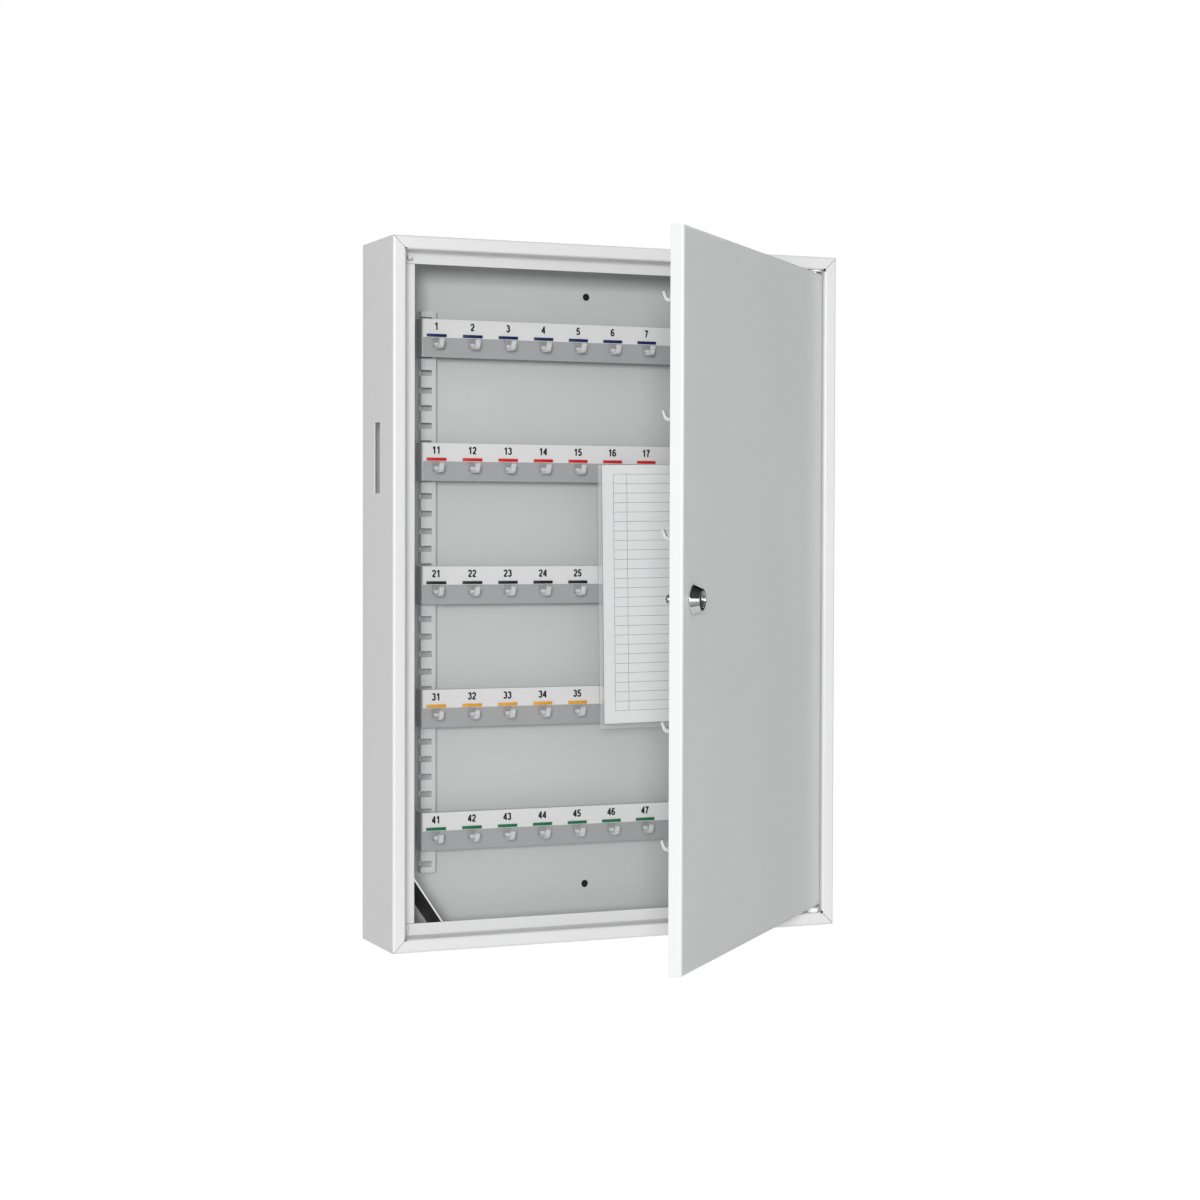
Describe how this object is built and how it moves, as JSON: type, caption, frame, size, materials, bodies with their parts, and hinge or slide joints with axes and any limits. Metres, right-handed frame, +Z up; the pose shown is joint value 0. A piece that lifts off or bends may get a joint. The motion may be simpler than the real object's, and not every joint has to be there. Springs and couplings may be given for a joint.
{
  "type": "key cabinet",
  "caption": "Wall-mounted sheet-metal key cabinet with an inset door on pivot pins, a cam lock, rows of key hooks on slotted rails, a side key-drop slot and an index card.",
  "frame": {"origin": "middle of the back panel's wall face", "axes": "+X to the right seen from the front, +Y into the wall, +Z up; at rest the door stands open 47 degrees"},
  "size_m": [0.38, 0.3332, 0.55],
  "materials": {
    "body_paint": "light grey semi-matt powder coat",
    "door_paint": "light grey semi-matt powder coat",
    "strip_paint": "light grey semi-matt powder coat",
    "paper": "white card",
    "hook_plastic": "clear translucent moulding with a coloured bar",
    "clear_film": "clear film",
    "chrome": "polished",
    "steel": "zinc plated",
    "white_plastic": "white moulding",
    "buffer_rubber": "soft white"
  },
  "bodies": {
    "cabinet": {"left_side": "body_paint", "right_side": "body_paint", "top_side": "body_paint", "bottom_side": "body_paint", "back_panel": "body_paint", "drop_chute": "body_paint", "left_rail": "strip_paint", "right_rail": "strip_paint", "key_strip_1": "strip_paint", "label_1": "paper", "hook_row_1": "hook_plastic", "key_strip_2": "strip_paint", "label_2": "paper", "hook_row_2": "hook_plastic", "key_strip_3": "strip_paint", "label_3": "paper", "hook_row_3": "hook_plastic", "key_strip_4": "strip_paint", "label_4": "paper", "hook_row_4": "hook_plastic", "key_strip_5": "strip_paint", "label_5": "paper", "hook_row_5": "hook_plastic", "upper_pivot_bush": "white_plastic", "lower_pivot_bush": "white_plastic", "upper_buffer": "buffer_rubber", "lower_buffer": "buffer_rubber"},
    "door": {"door_pan": "door_paint", "door_strip_1": "strip_paint", "door_label_1": "paper", "door_hook_row_1": "hook_plastic", "door_strip_2": "strip_paint", "door_label_2": "paper", "door_hook_row_2": "hook_plastic", "door_strip_3": "strip_paint", "door_label_3": "paper", "door_hook_row_3": "hook_plastic", "door_strip_4": "strip_paint", "door_label_4": "paper", "door_hook_row_4": "hook_plastic", "door_strip_5": "strip_paint", "door_label_5": "paper", "door_hook_row_5": "hook_plastic", "upper_hinge_pin": "steel", "lower_hinge_pin": "steel", "upper_hinge_block": "steel", "lower_hinge_block": "steel", "lower_pivot_washer": "steel", "lock_rosette": "chrome", "lock_housing": "chrome", "lock_nut": "steel"},
    "lock": {"lock_plug": "chrome", "lock_cam": "steel", "cam_screw": "steel"},
    "card": {"card_pocket": "clear_film", "index_card": "paper"}
  },
  "joints": [
    {"name": "door_hinge", "type": "hinge", "parent": "cabinet", "child": "door", "pos_m": [0.173, -0.075, 0], "axis": [0, 0, 1], "range_deg": [-47, 53]},
    {"name": "lock_turn", "type": "hinge", "parent": "door", "child": "lock", "pos_m": [-0.04743, -0.31725, 0.0024], "axis": [-0.7314, 0.682, 0], "range_deg": [-90, 0]},
    {"name": "card_lift", "type": "slide", "parent": "cabinet", "child": "card", "axis": [0, 0, 1], "range_m": [0, 0.007]}
  ]
}
